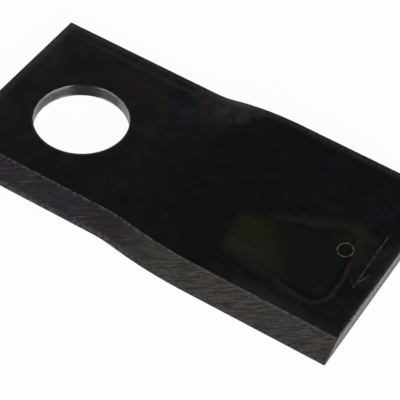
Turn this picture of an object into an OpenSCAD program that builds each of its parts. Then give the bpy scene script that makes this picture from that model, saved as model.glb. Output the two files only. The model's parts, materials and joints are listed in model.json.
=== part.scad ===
// Rotary mower blade: a flat knife of spring steel, punched, twisted and ground from one piece of strip.
// The origin is the centre of the pivot bore at mid-thickness. +X runs to the cutting tip, +Y to the edge
// that rises, and +Z along the bore. The blade looks the same when it is turned over about X. Millimetres.

/* [Strip] */
// Overall length of the blade
blade_l = 96; // [90:0.5:140]
// Width of the strip, from cutting edge to cutting edge
blade_w = 48; // [40:0.5:60]
// Thickness of the strip
blade_t = 3.2; // [2.5:0.1:6]

/* [Pivot bore] */
// Diameter of the punched pivot bore
bore_d = 21; // [14:0.1:24]
// Distance from the mounting end to the centre of the bore
bore_inset = 19.6; // [16:0.1:24]
// Edge break on both rims of the bore
bore_break = 0.05; // [0.05:0.05:0.5]

/* [Twist] */
// Angle that the cutting tip is turned by, about the length of the blade
twist_angle = 8.3; // [2:0.1:20]
// Distance from the mounting end to the start of the twist
twist_start = 39; // [38:0.5:46]
// Length of the twisted neck
twist_run = 22.5; // [12:0.5:28]
// Length at the start of the neck over which the twist gathers pace
twist_ease = 5.5; // [1:0.5:6]

/* [Cutting edges] */
// Width of the ground bevel along each long edge
bevel_w = 5.3; // [3:0.1:9]
// Height of the square land left below each bevel
edge_land = 0.3; // [0.1:0.05:0.8]
// Rounding of the two corners of the cutting tip, seen from above
tip_corner_r = 0.3; // [0.2:0.1:4]

/* [Hidden] */

half_w = blade_w / 2;
half_t = blade_t / 2;
neck_x = twist_start - bore_inset;
tip_x = neck_x + twist_run;
tip_l = blade_l - twist_start - twist_run;

// Fastest turn of the neck, in degrees per millimetre
top_pace = 2 * twist_angle / twist_run;
// Widest facet across the neck, and rings along it
facet_w = 5;
neck_rings = 28;
round_fn = 96;
cut_margin = 1;

steel_black = [0.09, 0.09, 0.10];

// Section of the strip: one bevel falls from the upper face to the -Y edge, its twin rises from the
// lower face to the +Y edge
section = [
  [-half_w, -half_t],
  [half_w - bevel_w, -half_t],
  [half_w, half_t - edge_land],
  [half_w, half_t],
  [-half_w + bevel_w, half_t],
  [-half_w, -half_t + edge_land]
];

// The same section with its wide sides divided, so that the twisted faces stay smooth
fine_section = [
  for (i = [0 : len(section) - 1])
    let (a = section[i], b = section[(i + 1) % len(section)], parts = ceil(norm(b - a) / facet_w))
      for (k = [0 : parts - 1]) a + (b - a) * k / parts
];

// Turn of the section at a distance s into the neck: the pace grows evenly over the ease, then fades
// evenly to nothing at the end of the neck
function turn_at(s) = s < twist_ease
  ? top_pace * s * s / (2 * twist_ease)
  : twist_angle - top_pace * pow(twist_run - s, 2) / (2 * (twist_run - twist_ease));

// A point of the section set at x along the blade and turned by an angle about the X axis
function set_point(p, x, turn) = [
  x,
  p[0] * cos(turn) - p[1] * sin(turn),
  p[0] * sin(turn) + p[1] * cos(turn)
];

// A straight length of bevelled strip from the YZ plane towards +X
module strip(length) {
  rotate([90, 0, 90])
    linear_extrude(length)
      polygon(section);
}

// Flat mounting end, from the sheared end to the neck
module mounting_end() {
  translate([-bore_inset, 0, 0])
    strip(twist_start);
}

// Twisted neck, as rings of the section that turn along the blade, closed by a fan at each end
module neck() {
  n = len(fine_section);
  rings = [
    for (j = [0 : neck_rings])
      let (s = twist_run * j / neck_rings)
        for (p = fine_section) set_point(p, neck_x + s, turn_at(s))
  ];
  start_mid = len(rings);
  end_mid = start_mid + 1;
  last_ring = neck_rings * n;
  sides = [
    for (j = [0 : neck_rings - 1], i = [0 : n - 1])
      let (a = j * n + i, b = j * n + (i + 1) % n)
        each [[a, a + n, b], [b, a + n, b + n]]
  ];
  start_fan = [for (i = [0 : n - 1]) [start_mid, i, (i + 1) % n]];
  end_fan = [for (i = [0 : n - 1]) [end_mid, last_ring + (i + 1) % n, last_ring + i]];
  polyhedron(
    concat(rings, [[neck_x, 0, 0], [tip_x, 0, 0]]),
    concat(sides, start_fan, end_fan),
    convexity = 4
  );
}

// Outline of the flat tip from above, square at the neck and with two rounded corners at its end
module tip_outline() {
  translate([0, -half_w])
    square([tip_l - tip_corner_r, blade_w]);
  translate([0, -half_w + tip_corner_r])
    square([tip_l, blade_w - 2 * tip_corner_r]);
  for (side = [-1, 1])
    translate([tip_l - tip_corner_r, side * (half_w - tip_corner_r)])
      circle(tip_corner_r, $fn = round_fn);
}

// Flat cutting tip, turned by the whole twist
module cutting_tip() {
  translate([tip_x, 0, 0])
    rotate([twist_angle, 0, 0])
      intersection() {
        strip(tip_l);
        translate([0, 0, -blade_t])
          linear_extrude(2 * blade_t)
            tip_outline();
      }
}

// Pivot bore with its two broken rims, as the metal that the punch takes out
module pivot_hole() {
  bore_r = bore_d / 2;
  cylinder(h = blade_t + 2 * cut_margin, r = bore_r, center = true, $fn = round_fn);
  for (side = [0, 1])
    mirror([0, 0, side])
      translate([0, 0, half_t - bore_break])
        cylinder(h = bore_break + cut_margin, r1 = bore_r, r2 = bore_r + bore_break + cut_margin, $fn = round_fn);
}

module blade() {
  color(steel_black)
    difference() {
      union() {
        mounting_end();
        neck();
        cutting_tip();
      }
      pivot_hole();
    }
}

blade();
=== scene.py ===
# %% [markdown]
# # A twisted rotary mower blade
# The real blade is one piece of spring steel strip. A bore is punched in one end, the other end is
# twisted, both long edges are ground to a bevel, and the whole is hardened black and oiled. The packed
# solid is loaded first, as a fixed frame, and its box is kept, so that nothing made here can outgrow it.

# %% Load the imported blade
import json

import bmesh
import bpy
import numpy as np
from mathutils import Matrix, Vector


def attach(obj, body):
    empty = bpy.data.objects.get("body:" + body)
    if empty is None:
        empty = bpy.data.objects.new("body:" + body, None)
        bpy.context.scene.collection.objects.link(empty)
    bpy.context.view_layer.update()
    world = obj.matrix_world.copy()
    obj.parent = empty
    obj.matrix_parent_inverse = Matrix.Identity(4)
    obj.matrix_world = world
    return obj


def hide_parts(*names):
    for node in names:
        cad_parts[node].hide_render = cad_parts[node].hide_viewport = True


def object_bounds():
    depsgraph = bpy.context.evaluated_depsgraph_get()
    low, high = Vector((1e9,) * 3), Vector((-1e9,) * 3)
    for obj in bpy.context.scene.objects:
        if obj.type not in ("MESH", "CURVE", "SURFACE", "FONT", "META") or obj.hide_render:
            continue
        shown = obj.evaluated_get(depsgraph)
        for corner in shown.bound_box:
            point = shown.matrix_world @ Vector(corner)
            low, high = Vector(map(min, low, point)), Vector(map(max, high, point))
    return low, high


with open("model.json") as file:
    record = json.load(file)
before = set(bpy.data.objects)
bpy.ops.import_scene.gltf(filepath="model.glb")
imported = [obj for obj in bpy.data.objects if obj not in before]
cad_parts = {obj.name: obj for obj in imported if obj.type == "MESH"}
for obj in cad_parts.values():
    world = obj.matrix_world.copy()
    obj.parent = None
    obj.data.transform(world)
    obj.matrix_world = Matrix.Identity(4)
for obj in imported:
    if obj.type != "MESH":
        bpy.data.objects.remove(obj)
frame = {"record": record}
cad_low, cad_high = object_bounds()
print("frame box, mm:", [round(1000 * v, 2) for v in (*cad_low, *cad_high)])

# %% [markdown]
# A replacement surface has to lie exactly on the solid, so its main sizes are read from the frame: the
# bore and the seats come from the mounts, and the twist from how far the turned tip reaches up. The
# sizes that no mount states are repeated here from the part's own drawing.

# %% Take the sizes from the frame
MM = 0.001
mounts = {mount["name"]: mount for mount in frame["record"]["mounts"]}
bore_r = mounts["pivot_bore"]["dims"]["r_mm"] * MM
half_t = mounts["upper_seat"]["pos_m"][2]
half_w = cad_high.y
mount_x = cad_low.x
tip_x = cad_high.x
twist = np.arcsin(cad_high.z / np.hypot(half_w, half_t)) - np.arctan2(half_t, half_w)

neck_x = mount_x + 39 * MM
neck_run = 22.5 * MM
neck_ease = 5.5 * MM
bevel_w = 5.3 * MM
edge_land = 0.3 * MM
bore_break = 0.05 * MM
tip_corner_r = 0.3 * MM
print("twist, degrees:", round(np.degrees(twist), 2), "bore, mm:", 2 * bore_r / MM)

# %% [markdown]
# A press twists the strip while its mounting end is clamped, so the turn gathers near the clamp and
# fades out along the neck. Every surface below is drawn on the flat strip and then bent by one formula:
# that is far simpler than drawing on a twisted body, and a pattern can follow the strip's own grain.

# %% Twist the flat strip
def turn_at(x):
    """Turn of the strip at x: its pace grows evenly over the ease, then fades evenly to the neck's end."""
    s = np.clip(x - neck_x, 0, neck_run)
    pace = 2 * twist / neck_run
    gathering = pace * s**2 / (2 * neck_ease)
    fading = twist - pace * (neck_run - s) ** 2 / (2 * (neck_run - neck_ease))
    return np.where(s < neck_ease, gathering, fading)


def round_tip_corners(flat):
    """Pulls the tip's two square corners onto a quarter circle, as a square is mapped onto a disc."""
    x, y, z = flat[..., 0], flat[..., 1], flat[..., 2]
    a = np.clip((x - tip_x) / tip_corner_r + 1, 0, 1)
    b = np.clip((np.abs(y) - half_w) / tip_corner_r + 1, 0, 1)
    new_x = x + tip_corner_r * a * (np.sqrt(1 - b**2 / 2) - 1)
    new_y = y + np.sign(y) * tip_corner_r * b * (np.sqrt(1 - a**2 / 2) - 1)
    return np.stack([new_x, new_y, z], axis=-1)


def twisted(flat):
    """Turns each point of the flat strip about the X axis by the strip's turn at that x."""
    x, y, z = flat[..., 0], flat[..., 1], flat[..., 2]
    c, s = np.cos(turn_at(x)), np.sin(turn_at(x))
    return np.stack([x, y * c - z * s, y * s + z * c], axis=-1)


print("turn at the neck's middle, degrees:", round(np.degrees(float(turn_at(neck_x + neck_run / 2))), 2))

# %% [markdown]
# No steel edge is perfectly sharp, and it is the small rounding that catches the light. So each corner of
# the strip's section becomes an arc, from the normal of one side to the normal of the next.

# %% Helpers for a section
UP = np.pi / 2


def spread(start, end, step):
    """Evenly spaced values from start to end, no further apart than a step."""
    return np.linspace(start, end, int(np.ceil(abs(end - start) / step)) + 1)


def rounded_corner(corner, start, end, radius, steps=5):
    """Rows of y, z and normal on a corner's arc: its centre plus the radius times the normal."""
    normals = np.array([[np.cos(a), np.sin(a)] for a in (start, end)])
    centre = np.array(corner) - radius * normals.sum(axis=0) / (1 + normals[0] @ normals[1])
    angle = np.linspace(start, end, steps + 1)
    return np.column_stack([centre[0] + radius * np.cos(angle), centre[1] + radius * np.sin(angle), angle])


print("rows on a rounded corner:", len(rounded_corner((0, 0), 0, UP, MM)))

# %% [markdown]
# Seen from its end the strip is a slim six-sided shape: a bevel falls from the upper face to one edge and
# its twin rises from the lower face to the other. The face also rolls down a little to the far edge. One
# half of the outline is enough, because half a turn about the blade's length gives the other.

# %% Draw half of the section
edge_r = 0.1 * MM
crease_r = 0.5 * MM
edge_drop = 0.04 * MM
drop_w = 1.4 * MM
# Half the side of the square left for the bore, and how close the first rows stand to an arc
window = 16 * MM
guard = 0.06 * MM
close_by = np.array([0.06, 0.2, 0.45]) * MM
face_step = MM
bevel_step = 0.5 * MM
drop_step = 0.2 * MM
bevel_normal = UP + np.arctan2(2 * half_t - edge_land, bevel_w)

far_arc = rounded_corner((half_w, half_t), 0, UP, edge_r)
crease_arc = rounded_corner((-half_w + bevel_w, half_t), UP, bevel_normal, crease_r)
edge_arc = rounded_corner((-half_w, -half_t + edge_land), bevel_normal, np.pi, edge_r)
face_y = np.concatenate([
    spread(far_arc[-1, 0] - guard, half_w - drop_w, drop_step)[:-1],
    spread(half_w - drop_w, window, face_step)[:-1],
    spread(window, -window, face_step),
    spread(-window, crease_arc[0, 0] + face_step, face_step)[1:],
    crease_arc[0, 0] + close_by[::-1],
])
face_rows = np.column_stack([face_y, np.full_like(face_y, half_t), np.full_like(face_y, UP)])
bevel_l = np.hypot(*(edge_arc[0] - crease_arc[-1])[:2])
mid_bevel = spread(face_step, bevel_l - face_step, bevel_step)
down_bevel = np.concatenate([close_by, mid_bevel, bevel_l - close_by[::-1]])
bevel_rows = crease_arc[-1] + down_bevel[:, None] / bevel_l * (edge_arc[0] - crease_arc[-1])
land_end = np.array([[-half_w, -half_t + edge_r + edge_drop, np.pi]])
rows = np.concatenate([far_arc, face_rows, crease_arc, bevel_rows, edge_arc, land_end])
face_end = len(far_arc) + len(face_rows)

over = np.clip(rows[:, 0] - half_w + drop_w, 0, None) / drop_w
rows[:, 1] -= edge_drop * over**2
rows[len(far_arc) : face_end, 2] -= (2 * edge_drop / drop_w * over)[len(far_arc) : face_end]
print("rows across half the section:", len(rows))

# %% [markdown]
# The section is carried along the strip at close columns. At both ends a few last columns shrink it
# inwards along its normals, which rounds the rim of the sheared end in the same stroke. Shrinking it a
# few hundredths of a millimetre here and there along a corner also gives the chips that grinding leaves
# on the crease and the nicks in the edges, so these are true shapes and not only painted on.

# %% Carry the section along the strip
column_step = MM / 3
rim_angle = np.linspace(0, UP, 5)
rim_x = edge_r * (1 - np.cos(rim_angle))
rim_inset = edge_r * (1 - np.sin(rim_angle))
body_x = np.concatenate([
    spread(mount_x + edge_r + guard, -window, column_step)[:-1],
    spread(-window, window, column_step),
    spread(window, tip_x - edge_r - guard, column_step)[1:],
])
column_x = np.concatenate([mount_x + rim_x, body_x, tip_x - rim_x[::-1]])
column_inset = np.concatenate([rim_inset, np.zeros_like(body_x), rim_inset[::-1]])
# Each chipped corner: its place across the strip, how far a chip reaches from it, and how deep
chipped_corners = [
    (-half_w + bevel_w, 0.5 * MM, 0.10 * MM),
    (-half_w, 0.4 * MM, 0.09 * MM),
    (half_w, 0.3 * MM, 0.05 * MM),
]


def chips(x, depth, seed):
    """Depth of chips along the strip: the mean of five sine waves of falling length, where positive."""
    wave_length = np.array([9.0, 4.3, 2.6, 1.5, 1.0]) * MM
    phase = np.random.default_rng(seed).uniform(0, 2 * np.pi, len(wave_length))
    waves = np.sin(2 * np.pi * x[:, None] / wave_length + phase).mean(axis=1)
    return depth * np.clip(waves, 0, None)


def near(place, corner, reach):
    """Weight of a chip on each row: 1 at a corner of the section, falling evenly to 0 at its reach."""
    weight = np.clip(1 - np.abs(place - corner) / reach, 0, 1)
    weight[[0, -1]] = 0
    return weight[:, None]


inset = column_inset
for seed, (corner, reach, depth) in enumerate(chipped_corners, start=1):
    inset = inset + near(rows[:, 0], corner, reach) * chips(column_x, depth, seed)
y = rows[:, :1] - inset * np.cos(rows[:, 2:])
z = rows[:, 1:2] - inset * np.sin(rows[:, 2:])
skin = np.stack([np.broadcast_to(column_x, y.shape), y, z], axis=-1)
print("skin grid:", skin.shape[:2])

# %% [markdown]
# The bore needs its own grid: inside a square window of the face, straight lines run from the bore's
# circle out to the window's border, so that the round rim is smooth and still meets the square grid
# point for point. The wall itself is a profile turned about the bore's axis, with both rims broken.

# %% Surround the bore
just_over = 1.0001
wall_step = 0.3 * MM
inside_x = column_x[np.abs(column_x) <= window * just_over]
inside_y = face_y[np.abs(face_y) <= window * just_over][::-1]
border = np.concatenate([
    np.column_stack([inside_x, np.full_like(inside_x, -window)])[:-1],
    np.column_stack([np.full_like(inside_y, window), inside_y])[:-1],
    np.column_stack([inside_x[::-1], np.full_like(inside_x, window)])[:-1],
    np.column_stack([np.full_like(inside_y, -window), inside_y[::-1]]),
])
bearing = np.arctan2(border[:, 1], border[:, 0])
rim = (bore_r + bore_break) * np.column_stack([np.cos(bearing), np.sin(bearing)])
share_out = np.concatenate([[0, 0.008], spread(0.04, 1, 0.08)])[:, None, None]
collar_xy = rim + share_out * (border - rim)
collar = np.concatenate([collar_xy, np.full_like(collar_xy[..., :1], half_t)], axis=-1)

lip = np.linspace(0, UP, 6)
lip_r = bore_r + bore_break * (1 - np.sin(lip))
lip_z = half_t - bore_break * (1 - np.cos(lip))
wall_z = spread(lip_z[-1], -lip_z[-1], wall_step)[1:-1]
wall_r = np.concatenate([lip_r, np.full_like(wall_z, bore_r), lip_r[::-1]])[:, None]
wall_z = np.concatenate([lip_z, wall_z, -lip_z[::-1]])[:, None]
wall = np.stack([wall_r * np.cos(bearing), wall_r * np.sin(bearing), wall_z + 0 * bearing], axis=-1)
print("bore grid:", collar.shape[:2], "wall grid:", wall.shape[:2])

# %% [markdown]
# Each end of the strip is a sheared face, a ladder of rungs between the upper half of the outline and
# the lower half. Skin, collar, wall and ends are patches, and each cell of a patch knows its finish. The
# skin leaves out the cells that the collar fills, and half a turn gives the lower skin and collar.

# %% List the patches and their finishes
FACE, GROUND, SHEARED, WALL = range(4)
half_turn = np.array([1, -1, -1])
crease_on_face = 2
row_finish = np.full(len(rows) - 1, GROUND)
row_finish[: face_end + crease_on_face] = FACE
skin_finish = np.repeat(row_finish[:, None], len(column_x) - 1, axis=1)
skin_finish[:, : len(rim_x) - 1] = SHEARED
skin_finish[:, 1 - len(rim_x) :] = SHEARED
rungs = np.linspace(0, 1, 9)[:, None]
in_window = (np.abs(rows[:-1, 0] + rows[1:, 0]) < 2 * window)[:, None] & (
    np.abs(column_x[:-1] + column_x[1:]) < 2 * window
)
in_window &= (np.arange(len(rows) - 1) < face_end)[:, None]
patches = [(skin, skin_finish, ~in_window), (collar, FACE, None), (wall, WALL, None)]
patches += [(skin * half_turn, skin_finish, ~in_window), (collar * half_turn, FACE, None)]
for end in (0, -1):
    upper = skin[:, None, end]
    lower = (skin[:, end] * half_turn)[::-1, None]
    patches.append((upper + rungs * (lower - upper), SHEARED, None))
print("patches:", len(patches))

# %% [markdown]
# All patches are joined into one mesh and their shared points merged, which closes it. Every point keeps
# its place on the flat strip in millimetres as an attribute, so that the finishes can follow the strip.

# %% Join the patches into one blade
weld = 0.001 * MM


def joined(patches):
    """Points, four-cornered faces and finishes of a list of grids, one after another."""
    points, faces, finishes = [], [], []
    count = 0
    for grid, finish, keep in patches:
        index = np.arange(grid.shape[0] * grid.shape[1]).reshape(grid.shape[:2]) + count
        quads = np.stack([index[:-1, :-1], index[1:, :-1], index[1:, 1:], index[:-1, 1:]], axis=-1)
        keep = np.ones(quads.shape[:2], bool) if keep is None else keep
        points.append(grid.reshape(-1, 3))
        faces.append(quads[keep])
        finishes.append(np.broadcast_to(finish, keep.shape)[keep])
        count += index.size
    return np.concatenate(points), np.concatenate(faces), np.concatenate(finishes)


def blade_object(name, patches):
    """One closed mesh of the patches, bent into the blade, with its flat places as an attribute."""
    flat, faces, finishes = joined(patches)
    flat = round_tip_corners(flat)
    mesh = bpy.data.meshes.new(name)
    mesh.from_pydata(twisted(flat), [], faces)
    mesh.polygons.foreach_set("material_index", finishes.astype(np.int32))
    place = mesh.attributes.new("strip_mm", "FLOAT_VECTOR", "POINT")
    place.data.foreach_set("vector", (flat / MM).astype(np.float32).ravel())
    shell = bmesh.new()
    shell.from_mesh(mesh)
    bmesh.ops.remove_doubles(shell, verts=shell.verts, dist=weld)
    bmesh.ops.recalc_face_normals(shell, faces=shell.faces)
    print("open edges:", sum(1 for edge in shell.edges if not edge.is_manifold))
    print("volume, mm3:", round(shell.calc_volume() / MM**3, 1))
    shell.to_mesh(mesh)
    shell.free()
    mesh.polygons.foreach_set("use_smooth", np.ones(len(mesh.polygons), bool))
    piece = bpy.data.objects.new(name, mesh)
    bpy.context.scene.collection.objects.link(piece)
    return piece


blade = blade_object("finished_blade", patches)
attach(blade, "root")
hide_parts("blade")
print("faces:", len(blade.data.polygons))

# %% [markdown]
# Finishes are node materials. A few small helpers keep them readable: they add a node, fill its inputs
# with values or links, and hand back its output, so that a finish reads like a list of sums.

# %% Helpers that add a node
def fill(tree, socket, value):
    """Links a socket to another node's output, or sets it to a plain value."""
    if isinstance(value, bpy.types.NodeSocket):
        tree.links.new(value, socket)
    else:
        socket.default_value = value


def add(tree, kind, settings=None, **inputs):
    """Adds a node, sets its properties, fills its inputs by name, and gives its first output."""
    node = tree.nodes.new(kind)
    for key, value in (settings or {}).items():
        setattr(node, key, value)
    for key, value in inputs.items():
        fill(tree, node.inputs[key.replace("_", " ")], value)
    return node.outputs[0] if node.outputs else None


def calc(tree, operation, a, b=0.0, clamp=False):
    """One sum on two numbers or links."""
    node = tree.nodes.new("ShaderNodeMath")
    node.operation = operation
    node.use_clamp = clamp
    fill(tree, node.inputs[0], a)
    fill(tree, node.inputs[1], b)
    return node.outputs[0]


def product(tree, first, *others):
    """Several numbers or links multiplied together."""
    for other in others:
        first = calc(tree, "MULTIPLY", first, other)
    return first


def aim(tree, operation, a, b=(0, 0, 0), output="Vector"):
    """One sum on two vectors or links."""
    node = tree.nodes.new("ShaderNodeVectorMath")
    node.operation = operation
    fill(tree, node.inputs[0], a)
    fill(tree, node.inputs["Scale" if operation == "SCALE" else 1], b)
    return node.outputs[output]


def mix(tree, share, a, b):
    """Colour a where the share is 0 and colour b where it is 1."""
    node = tree.nodes.new("ShaderNodeMix")
    node.data_type = "RGBA"
    fill(tree, node.inputs[0], share)
    fill(tree, node.inputs[6], a)
    fill(tree, node.inputs[7], b)
    return node.outputs[2]


print("node helpers ready")

# %% [markdown]
# On these stand the words that every finish uses: a smooth step, a cloudy noise, a place on the strip,
# and the start and end of a material. Both sides of the blade share one finish, so a place is counted
# from the bevel of its own side.

# %% Helpers that shape a finish
def ramp(tree, value, start, end, low=0.0, high=1.0):
    """Smooth step from low to high as a value goes from start to end."""
    settings = {"interpolation_type": "SMOOTHSTEP"}
    limits = {"From_Min": start, "From_Max": end, "To_Min": low, "To_Max": high}
    return add(tree, "ShaderNodeMapRange", settings, Value=value, **limits)


def noise(tree, place, scale, stretch=(1, 1, 1), turn=0.0, detail=4.0, seed=0.0, output=0):
    """Cloudy noise over a place in mm, turned and then stretched: output 0 is a value, 1 a colour."""
    turned = add(tree, "ShaderNodeMapping", Vector=place, Rotation=(0, 0, turn))
    sized = add(tree, "ShaderNodeMapping", Vector=turned, Scale=stretch, Location=(seed, 2 * seed, 0))
    return add(tree, "ShaderNodeTexNoise", Vector=sized, Scale=scale, Detail=detail).node.outputs[output]


def wander(tree, place, scale, seed, reach=1.0):
    """Noise that wanders to both sides of 0: the noise less a half, times its reach."""
    return product(tree, calc(tree, "SUBTRACT", noise(tree, place, scale, seed=seed), 0.5), reach)


def attribute(tree, name, output):
    """A value that the mesh carries at each point."""
    node = tree.nodes.new("ShaderNodeAttribute")
    node.attribute_name = name
    return node.outputs[output]


def split(tree, place):
    """The three coordinates of a place."""
    node = tree.nodes.new("ShaderNodeSeparateXYZ")
    fill(tree, node.inputs[0], place)
    return node.outputs


def strip_side(tree):
    """Place on a side of the strip, mm: along the blade, across it away from that side's bevel, and up."""
    x, y, z = split(tree, attribute(tree, "strip_mm", "Vector"))
    over_diagonal = calc(tree, "SUBTRACT", z, product(tree, y, (half_t - edge_r) / half_w))
    side = calc(tree, "SIGN", over_diagonal)
    return add(tree, "ShaderNodeCombineXYZ", X=x, Y=product(tree, y, side), Z=z)


def new_finish(name):
    """Empty material and its node tree."""
    material = bpy.data.materials.new(name)
    material.use_nodes = True
    material.node_tree.nodes.clear()
    return material, material.node_tree


def close_finish(tree, height, depth, **inputs):
    """Gives a principled shader its inputs and a relief of a depth in metres, and ends the material."""
    relief = add(tree, "ShaderNodeBump", Height=height, Distance=depth, Strength=1.0)
    shader = add(tree, "ShaderNodeBsdfPrincipled", Normal=relief, **inputs)
    add(tree, "ShaderNodeOutputMaterial", Surface=shader)


print("finish helpers ready")

# %% [markdown]
# Hardening leaves no even colour, so the faces and the bevels are varied by soft patches of tint, and a
# few patches paint a sheen or a shade. A patch is an oval on the strip whose rim is frayed by noise: it is
# quick to place and doesn't look drawn.

# %% Patches of tint
def tint_patch(tree, place, fray, centre, size):
    """Share of an oval patch: 1 at its centre, 0 past its rim, with the distance frayed by noise."""
    offset = aim(tree, "SUBTRACT", place, (*centre, 0))
    reach = aim(tree, "MULTIPLY", offset, (1 / size[0], 1 / size[1], 0))
    distance = calc(tree, "ADD", aim(tree, "LENGTH", reach, output="Value"), fray)
    return ramp(tree, distance, 1.1, 0.3)


def lay_patches(tree, place, fray, colour, patches, within=1.0):
    """Mixes each patch's tint over the colour so far, by its strength and by the share it lies within."""
    for centre, size, tint, strength in patches:
        share = product(tree, tint_patch(tree, place, fray, centre, size), strength, within)
        colour = mix(tree, share, colour, tint)
    return colour


print("patch helpers ready")

# %% [markdown]
# The broad faces carry the black oxide of hardening under a film of oil. It is almost black, browner at
# the mounting end and bluer at the tip, so its looks come from the tints laid over it. Three of the tints
# are a painted sheen by the neck's far edge. A slow drift of hue and tone keeps any part from being flat.

# %% Oxide and tints of the face
mount_black = (0.0090, 0.0072, 0.0080, 1)
tip_black = (0.0033, 0.0032, 0.0040, 1)
oxide_change = (16, 46)
oxide_fray = 24.0
patch_fray = 2.6
hue_drift = (0.9, 0.45, 1.0)
tone_drift = (0.74, 1.26)
# Each patch: its centre and half sizes on the strip in mm, its tint, and how strongly it is laid on
face_tints_and_sheen = [
    ((5, 17), (7, 6), (0.012, 0.0092, 0.0064, 1), 0.7),
    ((-15, 20), (8, 6), (0.015, 0.013, 0.014, 1), 0.8),
    ((-17.5, 12), (4, 8), (0.015, 0.014, 0.014, 1), 0.7),
    ((-10, 14), (5, 5), (0.0066, 0.0064, 0.0072, 1), 0.6),
    ((-16, -2), (6, 9), (0.012, 0.0086, 0.0074, 1), 0.7),
    ((5, -17), (17, 7), (0.0050, 0.0040, 0.0050, 1), 0.95),
    ((13, -12), (6, 5), (0.0070, 0.0054, 0.0052, 1), 0.6),
    # Painted sheen: the next three patches are a violet glow and a pale lilac highlight on the neck, near
    # its far edge.
    ((20, 16), (9, 6), (0.010, 0.0088, 0.014, 1), 0.9),
    ((25.5, 22.5), (11.5, 6), (0.026, 0.021, 0.027, 1), 0.95),
    ((29, 21.5), (5, 4), (0.027, 0.022, 0.027, 1), 0.8),
    ((9, 20.9), (4, 1.1), (0.023, 0.020, 0.016, 1), 0.9),
    ((34, 19), (5, 4), (0.0056, 0.0054, 0.0034, 1), 0.6),
    ((39, 12), (6, 7), (0.0044, 0.0030, 0.0036, 1), 0.7),
    ((49, 19), (6, 4), (0.0040, 0.0032, 0.0072, 1), 0.6),
    ((67, 12), (5, 4), (0.0044, 0.0038, 0.0082, 1), 0.6),
    ((70, 16), (3, 3), (0.0044, 0.0052, 0.0080, 1), 0.6),
    ((14, 6), (4, 6), (0.012, 0.0098, 0.0092, 1), 0.6),
    ((58, 9), (6, 4), (0.0044, 0.0044, 0.0056, 1), 0.7),
    ((60, -18), (16, 4), (0.0080, 0.0076, 0.0094, 1), 0.85),
    ((75, 2), (5, 9), (0.010, 0.010, 0.011, 1), 0.95),
    ((75, -13), (6, 8), (0.0056, 0.0056, 0.0064, 1), 0.95),
]


def face_colour(tree, place):
    """Oxide from brown-black to blue-black along the strip, with tints and a painted sheen, times a drift
    of hue and tone.
    """
    x = split(tree, place)["X"]
    along = calc(tree, "ADD", x, product(tree, noise(tree, place, 0.10, seed=3.0), oxide_fray))
    colour = mix(tree, ramp(tree, along, *oxide_change), mount_black, tip_black)
    fray = wander(tree, place, 0.30, 7.0, patch_fray)
    colour = lay_patches(tree, place, fray, colour, face_tints_and_sheen)
    hue = noise(tree, place, 0.22, detail=3.0, seed=11.0, output=1)
    drift = aim(tree, "MULTIPLY", aim(tree, "SUBTRACT", hue, (0.5, 0.5, 0.5)), hue_drift)
    colour = aim(tree, "MULTIPLY", colour, aim(tree, "ADD", drift, (1, 1, 1)))
    return aim(tree, "SCALE", colour, ramp(tree, noise(tree, place, 0.3, seed=14.0), 0.3, 0.7, *tone_drift))


print("tint patches on the face:", len(face_tints_and_sheen))

# %% [markdown]
# Heat has drawn a tan temper line beside the far edge, and the shear has left a ragged burr on the tip's
# rim, painted bright as the rim's highlight too. Each is found by its distance from that edge, which a
# noise varies along the way.

# %% Temper line and painted burr highlight
far_y = half_w / MM
end_x = tip_x / MM
temper_tan = (0.021, 0.018, 0.017, 1)
temper_inset = 3.0
tip_burr_highlight = (0.19, 0.19, 0.18, 1)


def temper_share(tree, place):
    """Distance from a line that wanders beside the far edge, as a share of uneven strength."""
    x, across = split(tree, place)[:2]
    from_line = calc(tree, "SUBTRACT", far_y - temper_inset, across)
    off_line = calc(tree, "ABSOLUTE", calc(tree, "ADD", from_line, wander(tree, place, 0.4, 1.0)))
    uneven = ramp(tree, noise(tree, place, 0.4, seed=5.0), 0.38, 0.62, 0.55, 1.0)
    return product(tree, ramp(tree, off_line, 0.9, 0.1), uneven, ramp(tree, x, 20, 13))


def burr_highlight_share(tree, place):
    """Burr at the tip's end, painted bright as its highlight: a strip as wide as a noise along the end,
    fullest towards the near edge.
    """
    x, across = split(tree, place)[:2]
    width = calc(tree, "SUBTRACT", noise(tree, place, 1.0, stretch=(0, 1.4, 0), seed=18.0), 0.25)
    past = calc(tree, "ADD", calc(tree, "SUBTRACT", x, end_x), width)
    return product(tree, ramp(tree, past, -0.06, 0.06), ramp(tree, across, -2, -9, 0.2, 1.0))


print("temper line at y, mm:", round(far_y - temper_inset, 2), "burr at x, mm:", round(end_x, 2))

# %% [markdown]
# Handling has rubbed the oxide paler along the rims of the face. The pale patch on the neck is a painted
# sheen, and the pale line around the bore, stronger on its near side, is a painted highlight. Each rim is
# a share that fades inwards from its edge. Most are broken by one speckle, because a rub touches only the
# high spots.

# %% Rubbed rims of the face and painted highlights
start_x = mount_x / MM
edge_rub = (0.037, 0.036, 0.036, 1)
mount_rub = (0.062, 0.060, 0.061, 1)
neck_sheen_paint = (0.076, 0.068, 0.079, 1)
# Painted highlight: the pale colour of the line around the bore's rim.
bore_rim_highlight = (0.070, 0.066, 0.067, 1)
far_rim_w = 2.3
tip_rim_w = 1.3
mount_rim_w = 2.6
bore_highlight_w = 0.7
neck_sheen_centre = (26, 24.2)
neck_sheen_size = (9, 2.2)
bore_near = (0.37, -0.93, 0)


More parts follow.
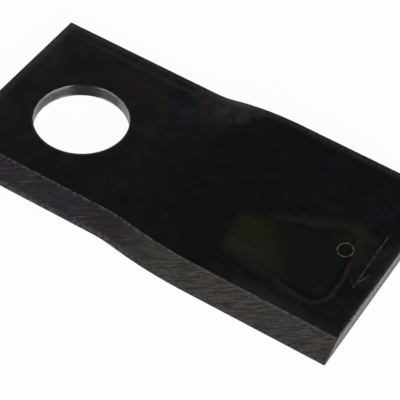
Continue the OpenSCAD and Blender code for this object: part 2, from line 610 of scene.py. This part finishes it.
def edge_share(tree, place):
    """Rub beside the far edge, the tip's end and the crease: the greatest of three fades inwards."""
    x, across = split(tree, place)[:2]
    toward_mount = calc(tree, "ADD", ramp(tree, x, 30, 18, 0.75, 0.85), ramp(tree, x, -1, -8, 0.0, 0.25))
    far = product(tree, ramp(tree, across, far_y - far_rim_w, far_y - 0.15), toward_mount)
    tip_rim = ramp(tree, x, end_x - tip_rim_w, end_x, 0.0, 0.65)
    crease = product(tree, ramp(tree, across, -15.5, -18.7, 0.0, 0.25), ramp(tree, x, 46, 54))
    return calc(tree, "MAXIMUM", far, calc(tree, "MAXIMUM", tip_rim, crease))


def mount_share(tree, place):
    """Rub beside the mounting end, stronger towards the far edge."""
    x, across = split(tree, place)[:2]
    toward_far = ramp(tree, across, 4, 14, 0.55, 0.85)
    return product(tree, ramp(tree, x, start_x + mount_rim_w, start_x), toward_far)


def bore_highlight_share(tree, place):
    """Painted highlight along the bore's rim, stronger on the side that faces the near edge."""
    on_plane = aim(tree, "MULTIPLY", place, (1, 1, 0))
    from_bore = calc(tree, "SUBTRACT", aim(tree, "LENGTH", on_plane, output="Value"), bore_r / MM)
    facing = aim(tree, "DOT_PRODUCT", aim(tree, "NORMALIZE", on_plane), bore_near, output="Value")
    toward_near = ramp(tree, facing, -0.2, 0.6, 0.1, 0.75)
    return product(tree, ramp(tree, from_bore, bore_highlight_w, 0.1), toward_near)


def rubbed_rims_and_highlights(tree, place, colour):
    """The temper line, each rubbed rim, the painted sheen and the painted highlights, mixed over the colour
    so far, most of them broken by a speckle.
    """
    speckle = ramp(tree, noise(tree, place, 2.0, seed=12.0), 0.36, 0.64, 0.45, 1.4)
    sheen_on_neck = tint_patch(tree, place, wander(tree, place, 0.4, 1.0), neck_sheen_centre, neck_sheen_size)
    layers = [
        (temper_share(tree, place), temper_tan),
        (calc(tree, "MULTIPLY", edge_share(tree, place), speckle, clamp=True), edge_rub),
        (burr_highlight_share(tree, place), tip_burr_highlight),
        (calc(tree, "MULTIPLY", mount_share(tree, place), speckle, clamp=True), mount_rub),
        # Painted sheen: a pale lilac patch along the neck's far edge.
        (product(tree, sheen_on_neck, 0.8), neck_sheen_paint),
        (calc(tree, "MULTIPLY", bore_highlight_share(tree, place), speckle, clamp=True), bore_rim_highlight),
    ]
    for share, tint in layers:
        colour = mix(tree, share, colour, tint)
    return colour


print("rubbed rims run from x, mm:", round(start_x, 2), "to", round(end_x, 2))

# %% [markdown]
# A dried run of quenching oil left a stain on the upper face of the tip: a dark field inside a pale
# border. Its outline is worked out as a number at every point of the mesh: the distance to each of a few
# straight sides, blended by a smooth maximum, which rounds the corners as a drop of oil does.

# %% Outline of the oil stain
# Each side: its outward direction along and across the strip, and how far out it lies, mm
stain_sides = np.array([
    [0.961, 0.277, 66.4],
    [1.0, 0.0, 70.1],
    [0.7, -0.714, 57.6],
    [-0.136, -0.991, 5.6],
    [-1.0, 0.0, -43.5],
    [-0.376, 0.926, -18.8],
])
stain_rounding = 0.9
far_off = 50


def stain_distance(flat_mm):
    """Smooth maximum of the distances past each side, mm: below 0 inside, and far off under the blade."""
    past = flat_mm[:, :2] @ stain_sides[:, :2].T - stain_sides[:, 2]
    outline = stain_rounding * np.log(np.exp(past / stain_rounding).sum(axis=1))
    return np.where(flat_mm[:, 2] > 0, np.minimum(outline, far_off), far_off)


flat_mm = np.empty(3 * len(blade.data.vertices), np.float32)
blade.data.attributes["strip_mm"].data.foreach_get("vector", flat_mm)
stain_mm = stain_distance(flat_mm.reshape(-1, 3).astype(float))
layer = blade.data.attributes.new("stain_mm", "FLOAT", "POINT")
layer.data.foreach_set("value", stain_mm.astype(np.float32))
print("points inside the stain:", int((stain_mm < 0).sum()))

# %% [markdown]
# The stain is painted by that distance, loosened by noise. Towards the neck the oil was washed out to
# olive and tan, a soft band lies along the upper side, tints pooled in places, and towards the tip the
# border dried to a thin pale line with a dark one inside it.

# %% Colours of the oil stain
stain_field = (0.0042, 0.0042, 0.0038, 1)
stain_shade = (0.0012, 0.0011, 0.0006, 1)
wash_olive = (0.014, 0.013, 0.0036, 1)
wash_tan = (0.017, 0.014, 0.0094, 1)
band_olive = (0.013, 0.011, 0.0078, 1)
border_olive = (0.019, 0.017, 0.013, 1)
border_brown = (0.017, 0.013, 0.010, 1)
stain_tints = [
    ((66.5, 5), (2.8, 2.6), (0.012, 0.013, 0.0062, 1), 0.75),
    ((63.5, 3.6), (2.2, 1.8), (0.0092, 0.0056, 0.0050, 1), 0.6),
    ((67.5, -11), (2.5, 3), (0.0088, 0.0072, 0.0046, 1), 0.7),
]


def stain_wash(tree, place, loose, colour):
    """Oil washed out on the neck's side of a slanting line, streaked, tan by the crease, else olive."""
    x, across = split(tree, place)[:2]
    streak = ramp(tree, noise(tree, place, 0.22, stretch=(0.7, 1.6, 1), seed=15.0), 0.35, 0.62, 0.55, 1.0)
    slanted = calc(tree, "ADD", x, product(tree, calc(tree, "ADD", across, 9.0), 0.8))
    wash = product(tree, ramp(tree, slanted, 60.5, 51), ramp(tree, loose, 1.5, -1.5), streak)
    return mix(tree, wash, colour, mix(tree, ramp(tree, across, -8.5, -4.5), wash_tan, wash_olive))


def stain_band(tree, place, loose, colour):
    """A soft band over the stain's outline, only along its upper side."""
    x, across = split(tree, place)[:2]
    band = product(tree, ramp(tree, loose, 2.6, 0.6), ramp(tree, loose, -1.4, 0.2))
    on_side = product(tree, ramp(tree, across, -2, 1), ramp(tree, x, 47, 51, 0.0, 0.8))
    return mix(tree, product(tree, band, on_side), colour, band_olive)


def stain_border(tree, place, past, colour):
    """A dark line inside the outline and a pale, broken one on it, both drawn sharper towards the tip."""
    x, across = split(tree, place)[:2]
    drawn = product(tree, ramp(tree, x, 54, 67, 0.1, 1.0), ramp(tree, x, 42, 50))
    drawn = product(tree, drawn, ramp(tree, across, 3.5, -2))
    inner = product(tree, ramp(tree, past, -0.4, -0.8), ramp(tree, past, -2.0, -1.0))
    shaded = calc(tree, "MAXIMUM", product(tree, drawn, 0.8), ramp(tree, x, 50, 56, 0.0, 0.5))
    colour = mix(tree, product(tree, inner, shaded), colour, stain_shade)
    softer = product(tree, past, ramp(tree, x, 54, 67, 0.35, 1.0))
    border = product(tree, ramp(tree, softer, 0.65, 0.1), ramp(tree, softer, -0.7, -0.15))
    broken = ramp(tree, noise(tree, place, 0.5, seed=16.0), 0.35, 0.6, 0.4, 1.0)
    tone = mix(tree, ramp(tree, across, -10, -6), border_olive, border_brown)
    return mix(tree, product(tree, border, drawn, broken), colour, tone)


def stain_colour(tree, place, colour):
    """The stain's layers over the colour so far: field, wash, band, pooled tints and border."""
    cloud = wander(tree, place, 0.35, 9.0)
    past = calc(tree, "ADD", attribute(tree, "stain_mm", "Fac"), product(tree, cloud, 1.2))
    loose = calc(tree, "ADD", past, product(tree, cloud, 3.0))
    on_top = ramp(tree, loose, 20, 10)
    colour = mix(tree, ramp(tree, past, 0.2, -0.8), colour, stain_field)
    colour = stain_wash(tree, place, loose, colour)
    colour = stain_band(tree, place, loose, colour)
    colour = lay_patches(tree, place, product(tree, cloud, 2.4), colour, stain_tints, on_top)
    return stain_border(tree, place, past, colour)


print("tints pooled in the stain:", len(stain_tints))

# %% [markdown]
# Two marks are scribed on the tip: an arrow that shows which way the blade travels, and a small ring.
# Each is a hairline, so it is drawn as a distance to strokes on the strip, bright where the tool broke
# the oxide, and it is pressed in by the same distance.

# %% Scribed marks
mark_half_width = 0.12
arrow_x = 72.3
# Each stroke: its two ends on the strip in mm, and how strongly it was scribed
arrow_strokes = [
    ((arrow_x, 8.3), (arrow_x + 0.2, -4.4), 0.8),
    ((arrow_x, 1.0), (arrow_x + 0.3, -6.4), 0.35),
    ((73.9, -2.3), (72.7, -4.9), 0.9),
    ((72.7, -4.9), (72.5, -6.4), 0.45),
    ((70.5, -4.0), (72.5, -6.4), 0.2),
]
ring_centre = (66.4, 0.8)
ring_r = 1.7
ring_strength = 0.9
scribe_grey = (0.082, 0.082, 0.095, 1)
scribe_tan = (0.15, 0.13, 0.095, 1)


def stroke_distance(tree, place, start, end):
    """Distance from a stroke on the upper face, mm: to the nearest point between its two ends."""
    way = Vector((end[0] - start[0], end[1] - start[1], 0))
    offset = aim(tree, "SUBTRACT", place, (*start, half_t / MM))
    share = aim(tree, "DOT_PRODUCT", offset, way / way.length_squared, output="Value")
    foot = aim(tree, "SCALE", tuple(way), calc(tree, "ADD", share, 0.0, clamp=True))
    return aim(tree, "LENGTH", aim(tree, "SUBTRACT", offset, foot), output="Value")


def ring_distance(tree, place):
    """Distance from the ring's own circle on the upper face."""
    offset = aim(tree, "SUBTRACT", place, (*ring_centre, half_t / MM))
    radius = aim(tree, "LENGTH", offset, output="Value")
    return calc(tree, "ABSOLUTE", calc(tree, "SUBTRACT", radius, ring_r))


def scribed_marks(tree, place, colour):
    """Each mark's worn line over the colour so far, and the greatest of the lines, which is pressed in."""
    worn = ramp(tree, noise(tree, place, 1.2, seed=2.0), 0.38, 0.58, 0.3, 1.0)
    marks = []
    for start, end, strength in arrow_strokes:
        marks.append((stroke_distance(tree, place, start, end), strength, scribe_grey))
    marks.append((ring_distance(tree, place), ring_strength, scribe_tan))
    pressed = 0.0
    for distance, strength, tint in marks:
        line = ramp(tree, distance, 0.4 * mark_half_width, 1.5 * mark_half_width, strength, 0.0)
        line = product(tree, line, worn)
        colour = mix(tree, line, colour, tint)
        pressed = calc(tree, "MAXIMUM", line, pressed)
    return colour, pressed


print("strokes:", len(arrow_strokes), "and a ring of radius", ring_r, "mm")

# %% [markdown]
# The face's colour is laid on in the order in which it came about: oxide and tints first, then the rims
# that handling rubbed paler, then the oil stain, and the scribed marks last. A painted sheen on the neck
# and painted highlights around the bore and on the tip's rim are laid in with the tints and the rims. Over
# it lies the film of oil, whose gloss is uneven, and the strip's own shallow waves and fine grain.

# %% Blackened face
face_relief = 0.01 * MM


def blackened_face():
    """Oxide, temper colours, painted sheen and highlights, stain and scribed marks under a film of oil of
    uneven gloss.
    """
    material, tree = new_finish("blackened_face")
    place = strip_side(tree)
    colour = rubbed_rims_and_highlights(tree, place, face_colour(tree, place))
    colour = stain_colour(tree, place, colour)
    colour, pressed = scribed_marks(tree, place, colour)
    grain = product(tree, noise(tree, place, 4.0, seed=4.0), 0.15)
    waves = product(tree, noise(tree, place, 0.3, detail=2.0, seed=13.0), 1.5)
    height = calc(tree, "SUBTRACT", calc(tree, "ADD", grain, waves), pressed)
    rough = ramp(tree, noise(tree, place, 0.16, seed=6.0), 0.35, 0.65, 0.22, 0.29)
    close_finish(tree, height, face_relief, Base_Color=colour, Roughness=rough, Specular_IOR_Level=0.5)
    return material


blade.data.materials.append(blackened_face())
print("face finish has", len(blade.data.materials[FACE].node_tree.nodes), "nodes")

# %% [markdown]
# The bevels are ground on a coarse wheel and blackened afterwards, so they are greyer and rougher than
# the faces. The wheel leaves slanting scratches of very different lengths: two noises stretched hard
# along the slant, with a little grit, give their colour and their relief.

# %% Scratches and tints of the bevel
bevel_mount = (0.024, 0.021, 0.027, 1)
bevel_tip = (0.035, 0.033, 0.030, 1)
bevel_change = (22, 36)
contrast_change = (20, 40)
scratch_slant = np.radians(27)
bevel_tints_and_shade = [
    ((-4, -22), (4, 2.5), (0.026, 0.021, 0.026, 1), 0.9),
    ((2.5, -21), (3.5, 3), (0.021, 0.021, 0.022, 1), 0.9),
    ((9, -21), (5, 3), (0.023, 0.021, 0.028, 1), 0.9),
    ((16, -20), (3, 2.5), (0.027, 0.020, 0.022, 1), 0.8),
    # Painted shade: the next patch darkens the bevel on the neck, where it catches more light.
    ((25, -21.5), (7, 6), (0.018, 0.016, 0.017, 1), 0.95),
    ((30.5, -21.5), (5, 5), (0.024, 0.023, 0.020, 1), 0.9),
    ((22.5, -22), (2.5, 2.5), (0.021, 0.014, 0.015, 1), 0.7),
    ((38, -21), (6, 4), (0.032, 0.032, 0.027, 1), 0.9),
    ((48, -21), (6, 4), (0.040, 0.035, 0.032, 1), 0.9),
    ((55, -22), (4, 3), (0.042, 0.035, 0.033, 1), 0.9),
    ((59, -21.5), (3, 3), (0.036, 0.035, 0.024, 1), 0.9),
    ((63, -20.5), (3.5, 3), (0.035, 0.033, 0.035, 1), 0.9),
    ((68, -21), (3.5, 4), (0.032, 0.033, 0.030, 1), 0.9),
    ((73.5, -21.5), (4.5, 4), (0.039, 0.035, 0.030, 1), 0.9),
]


def scratches(tree, place):
    """Grinding scratches: long coarse ones, shorter fine ones at a lesser slant, and a little grit."""
    coarse = noise(tree, place, 1.0, stretch=(0.24, 1.9, 0), turn=-scratch_slant, detail=3.0, seed=1.0)
    fine = noise(tree, place, 1.0, stretch=(0.7, 4.5, 0), turn=-0.7 * scratch_slant, seed=8.0)
    grit = noise(tree, place, 2.2, seed=5.0)
    long_and_short = calc(tree, "ADD", product(tree, coarse, 0.45), product(tree, fine, 0.35))
    return calc(tree, "ADD", long_and_short, product(tree, grit, 0.20))


def bevel_colour(tree, place, x, cut):
    """Mauve at the mounting end, paler grey at the tip, and tints with a painted shade on the neck, all
    times the scratches' contrast.
    """
    colour = mix(tree, ramp(tree, x, *bevel_change), bevel_mount, bevel_tip)
    colour = lay_patches(tree, place, wander(tree, place, 0.5, 4.0, 2.4), colour, bevel_tints_and_shade)
    faint = ramp(tree, x, *contrast_change, 0.72, 0.58)
    strong = ramp(tree, x, *contrast_change, 1.35, 1.6)
    return aim(tree, "SCALE", colour, ramp(tree, cut, 0.41, 0.60, faint, strong))


print("tint patches on the bevel:", len(bevel_tints_and_shade))

# %% [markdown]
# The wheel also leaves sparse long streaks, a broken burr along the crease, whose pale grey also paints
# the crease's highlight, and a paler line at the cutting edge. Each is a share of one pale grey, mixed over
# the scratched colour.

# %% Ground bevel
bare_grey_and_highlight = (0.094, 0.089, 0.088, 1)
bevel_relief = 0.05 * MM


def bevel_lines(tree, place, x, across):
    """Shares of pale grey: sparse long streaks, a broken burr by the crease that is also a painted
    highlight, a honed line by the edge.
    """
    streak = noise(tree, place, 1.0, stretch=(0.16, 2.6, 0), turn=-scratch_slant, detail=2.0, seed=21.0)
    inward = calc(tree, "ADD", across, far_y)
    ragged = product(tree, noise(tree, place, 1.3, seed=5.0), 0.7)
    broken = ramp(tree, noise(tree, place, 1.2, seed=17.0), 0.42, 0.58, 0.1, 1.0)
    crease = bevel_w / MM
    # Painted highlight: this burr line by the crease is also made pale as the crease's catch-light.
    burr = ramp(tree, calc(tree, "SUBTRACT", inward, ragged), crease - 0.95, crease - 0.40)
    honed = ramp(tree, calc(tree, "ADD", inward, ragged), 1.6, 0.8)
    return [
        ramp(tree, streak, 0.62, 0.74, 0.0, 0.6),
        product(tree, burr, broken, 0.7),
        product(tree, honed, broken, ramp(tree, x, 34, 22, 0.15, 0.6)),
    ]


def ground_bevel():
    """Slanting grinding scratches over tinted grey with a painted shade on the neck, a burr along the
    crease painted pale as its highlight, and a bare line along the edge.
    """
    material, tree = new_finish("ground_bevel")
    place = strip_side(tree)
    x, across = split(tree, place)[:2]
    cut = scratches(tree, place)
    colour = bevel_colour(tree, place, x, cut)
    for share in bevel_lines(tree, place, x, across):
        colour = mix(tree, share, colour, bare_grey_and_highlight)
    rough = ramp(tree, cut, 0.38, 0.62, 0.5, 0.36)
    close_finish(tree, cut, bevel_relief, Base_Color=colour, Roughness=rough, Specular_IOR_Level=0.4)
    return material


blade.data.materials.append(ground_bevel())
print("bevel finish has", len(blade.data.materials[GROUND].node_tree.nodes), "nodes")

# %% [markdown]
# Both ends were cut off the strip in a shear. Its knife dips in first and burnishes a smooth band, then
# the rest of the thickness tears, so an end has two zones with fine upright lines. It is blackened as
# the faces are, and shows pale mainly where it mirrors the table.

# %% Sheared end
end_torn = (0.042, 0.041, 0.040, 1)
end_burnished = (0.052, 0.050, 0.048, 1)
end_seam = (0.016, 0.016, 0.016, 1)
end_relief = 0.06 * MM


def sheared_end():
    """Upright shear lines on a burnished band and on the torn zone below it, with a dark seam between."""
    material, tree = new_finish("sheared_end")
    place = attribute(tree, "strip_mm", "Vector")
    height = calc(tree, "ADD", split(tree, place)["Z"], wander(tree, place, 0.6, 3.0, 0.9))
    burnished = ramp(tree, height, 0.0, 0.25)
    seam = product(tree, ramp(tree, height, -0.25, 0.0), ramp(tree, height, 0.3, 0.05), 0.7)
    colour = mix(tree, seam, mix(tree, burnished, end_torn, end_burnished), end_seam)
    torn = noise(tree, place, 2.4, stretch=(0, 1, 0.7), seed=6.0)
    lines = noise(tree, place, 1.0, stretch=(0, 2.4, 0.5), seed=2.0)
    pattern = mix(tree, burnished, torn, lines)
    colour = aim(tree, "SCALE", colour, ramp(tree, pattern, 0.38, 0.62, 0.4, 1.7))
    rough = ramp(tree, burnished, 0, 1, 0.44, 0.30)
    close_finish(tree, pattern, end_relief, Base_Color=colour, Roughness=rough, Specular_IOR_Level=0.5)
    return material


blade.data.materials.append(sheared_end())
print("end finish has", len(blade.data.materials[SHEARED].node_tree.nodes), "nodes")

# %% [markdown]
# The punch tore the wall of the bore into fine lines and polished it in places. It is oxide too. Its rims
# and one side are painted pale as highlights, and the middle of the far wall is painted dark as shade,
# beside two polished zones that are dark too. A zone is found by its bearing around the bore.

# %% Punched wall
wall_polish_and_shade_dark = (0.0045, 0.0045, 0.0050, 1)
wall_grey = (0.058, 0.055, 0.066, 1)
wall_painted_highlight = (0.28, 0.27, 0.29, 1)
wall_relief = 0.03 * MM
# Each zone: the bearing of its middle from +X and half its width, degrees
# Painted shade: the zone at 120 degrees is the middle of the far wall, which faces the near edge; the other
# two are polished.
polish_and_shade_zones = [(120, 18), (238, 18), (352, 28)]
# Painted reflection: this zone of the wall is made pale where it mirrors the table at a slant.
highlight_zone = (48, 24)


def wall_zone(tree, bearing, fray, middle, half_width):
    """Share of a zone of the wall, by the cosine of the angle between a bearing and the zone's middle."""
    toward = (np.cos(np.radians(middle)), np.sin(np.radians(middle)), 0)
    facing = calc(tree, "ADD", aim(tree, "DOT_PRODUCT", bearing, toward, output="Value"), fray)
    rim_cosine = np.cos(np.radians(half_width))
    return ramp(tree, facing, rim_cosine - 0.05, rim_cosine + 0.045)


def punched_wall():
    """Grey wall with fine lines round it, dark in polished zones and in a painted shade, with painted
    highlights on one side and at its rims.
    """
    material, tree = new_finish("punched_wall")
    place = attribute(tree, "strip_mm", "Vector")
    bearing = aim(tree, "NORMALIZE", aim(tree, "MULTIPLY", place, (1, 1, 0)))
    lines = noise(tree, place, 1.0, stretch=(0.5, 0.5, 5.0), seed=2.0)
    fray = wander(tree, place, 0.9, 7.0, 0.06)
    polish = 0.0
    for middle, half_width in polish_and_shade_zones:
        polish = calc(tree, "MAXIMUM", wall_zone(tree, bearing, fray, middle, half_width), polish)
    # Painted shade and polish: the dark zones, of which the one at 120 degrees is painted shade.
    colour = mix(tree, polish, wall_grey, wall_polish_and_shade_dark)
    # Painted highlight: the wall is made pale towards both rims, outside the dark zones.
    rolled = ramp(tree, calc(tree, "ABSOLUTE", split(tree, place)["Z"]), 0.85, 1.35, 0.0, 0.7)
    rolled = product(tree, rolled, calc(tree, "SUBTRACT", 1.0, polish))
    bare = calc(tree, "MAXIMUM", wall_zone(tree, bearing, fray, *highlight_zone), rolled)
    colour = mix(tree, bare, colour, wall_painted_highlight)
    colour = aim(tree, "SCALE", colour, ramp(tree, lines, 0.38, 0.62, 0.5, 1.5))
    rough = ramp(tree, polish, 0, 1, 0.30, 0.2)
    close_finish(tree, lines, wall_relief, Base_Color=colour, Roughness=rough, Specular_IOR_Level=0.2)
    return material


blade.data.materials.append(punched_wall())
print("wall finish has", len(blade.data.materials[WALL].node_tree.nodes), "nodes")

# %% [markdown]
# The blade lies as it comes to rest: on the cutting edge of its turned tip and on the far crease under
# its mounting end. The table follows those two lines. It shows white from above, keeps the shadow, and
# is clear from below, so that the underside can be looked at too.

# %% Table under the blade
low_edge = twisted(np.array([tip_x, -half_w, -half_t]))
far_crease = np.array([0, half_w - bevel_w, -half_t])
slope = (far_crease[2] - low_edge[2]) / (far_crease[1] - low_edge[1])
table_half = 4.0
table_white = (0.90, 0.90, 0.90, 1)
shown_white = 0.96
table_x, table_y = np.meshgrid([-table_half, table_half], [-table_half, table_half])
table_z = low_edge[2] + slope * (table_y - low_edge[1])
table_mesh = bpy.data.meshes.new("table")
table_mesh.from_pydata(np.stack([table_x, table_y, table_z], axis=-1).reshape(-1, 3), [], [(0, 1, 3, 2)])
table = bpy.data.objects.new("table", table_mesh)
bpy.context.scene.collection.objects.link(table)


def blend_shaders(tree, share, a, b):
    """Shader a where the share is 0 and shader b where it is 1."""
    node = tree.nodes.new("ShaderNodeMixShader")
    fill(tree, node.inputs[0], share)
    fill(tree, node.inputs[1], a)
    fill(tree, node.inputs[2], b)
    return node.outputs[0]


def table_paint():
    """White paint that shows mostly white to the eye and to reflections, and clear from behind."""
    material, tree = new_finish("table_paint")
    path = tree.nodes.new("ShaderNodeLightPath").outputs
    looked_at = calc(tree, "MAXIMUM", path["Is Camera Ray"], path["Is Glossy Ray"])
    looked_at = calc(tree, "MAXIMUM", looked_at, path["Is Transmission Ray"])
    paint = add(tree, "ShaderNodeBsdfDiffuse", Color=table_white)
    white = add(tree, "ShaderNodeEmission", Color=(1, 1, 1, 1), Strength=1.0)
    shown = blend_shaders(tree, product(tree, looked_at, shown_white), paint, white)
    behind = tree.nodes.new("ShaderNodeNewGeometry").outputs["Backfacing"]
    sided = blend_shaders(tree, behind, shown, add(tree, "ShaderNodeBsdfTransparent"))
    add(tree, "ShaderNodeOutputMaterial", Surface=sided)
    return material


table.data.materials.append(table_paint())
print("table slope, degrees:", round(np.degrees(np.arctan(slope)), 2))

# %% [markdown]
# Black oiled steel shows what is around it, so the studio is laid out by what each face mirrors. It is
# dark overhead, which keeps the broad faces black, and white at table height. Two wide panels to the
# right are mirrored in the bevels and the ends, and a small one behind the blade puts the sheen on the
# neck. A panel is a soft disc of light in the world, found by the angle between a direction and its own.

# %% Studio surroundings
dark_level = 0.08
horizon_level = 1.0
horizon_fade = (0.02, 0.24)
front = (0.68, -0.66, 0.32)
# Each panel: its direction, the angles of its rim and of its even core in degrees, and its brightness
panels = [
    (front, 38, 18, 0.8),
    ((0.85, 0.35, 0.38), 50, 28, 1.0),
    ((-0.70, 0.58, 0.42), 15, 4, 0.22),
]
world = bpy.data.worlds.new("studio")
bpy.context.scene.world = world
world.use_nodes = True
sky = world.node_tree
sky.nodes.clear()
heading = add(sky, "ShaderNodeTexCoord")
level = ramp(sky, split(sky, heading)["Z"], *horizon_fade, horizon_level, dark_level)
for toward, outer_angle, core_angle, brightness in panels:
    facing = aim(sky, "DOT_PRODUCT", heading, Vector(toward).normalized(), output="Value")
    outer_cosine, core_cosine = np.cos(np.radians([outer_angle, core_angle]))
    level = calc(sky, "MAXIMUM", level, ramp(sky, facing, outer_cosine, core_cosine, 0.0, brightness))
background = add(sky, "ShaderNodeBackground", Color=(1, 1, 1, 1), Strength=level)
add(sky, "ShaderNodeOutputWorld", Surface=background)
print("panels:", len(panels))

# %% [markdown]
# Most of the plain, even light comes from one softbox in front. It is kept out of reflections, because
# mirrored in the oiled face it would hide the steel's own colour when it is seen from behind.

# %% Softbox
softbox_distance = 1.2
softbox_size = 1.1
softbox_share = 0.41


def softbox(name, toward, distance, size, share):
    """Square lamp facing the blade, with the power to give a level surface its share of full light."""
    direction = Vector(toward).normalized()
    lamp = bpy.data.lights.new(name, "AREA")
    lamp.shape = "SQUARE"
    lamp.size = size
    lamp.energy = share * (np.pi * distance) ** 2 / direction.z
    holder = bpy.data.objects.new(name, lamp)
    holder.visible_glossy = False
    bpy.context.scene.collection.objects.link(holder)
    holder.location = (cad_low + cad_high) / 2 + direction * distance
    holder.rotation_euler = direction.to_track_quat("Z", "Y").to_euler()
    print(name, "watts:", round(lamp.energy, 2))


softbox("front_softbox", front, softbox_distance, softbox_size, softbox_share)

# %% [markdown]
# The camera stands where the photograph was taken from: a long lens that looks down on the blade and is
# rolled a little. Its directions are worked out from three angles, and the lens from a focal length in
# pixels of the photograph.

# %% Camera
azimuth = np.radians(29.83)
elevation = np.radians(47.02)
roll = np.radians(4.28)
target = Vector((34.09, -5.17, 1.63)) * MM
distance = 482.4 * MM
focal_px = 2287.7
image_px = 400

flat_back = Vector((np.sin(azimuth), -np.cos(azimuth), 0))
back = flat_back * np.cos(elevation) + Vector((0, 0, np.sin(elevation)))
level_right = Vector((np.cos(azimuth), np.sin(azimuth), 0))
level_up = back.cross(level_right)
right = level_right * np.cos(roll) + level_up * np.sin(roll)
up = back.cross(right)
turned = Matrix((right, up, back)).transposed().to_4x4()
lens = bpy.data.cameras.new("photo_camera")
lens.lens = lens.sensor_width * focal_px / image_px
lens.clip_start = 0.01
lens.clip_end = 20
camera = bpy.data.objects.new("photo_camera", lens)
bpy.context.scene.collection.objects.link(camera)
camera.matrix_world = Matrix.Translation(target + back * distance) @ turned
bpy.context.scene.camera = camera
bpy.context.scene.view_settings.view_transform = "Standard"
print("camera, mm:", [round(v / MM, 1) for v in camera.location])
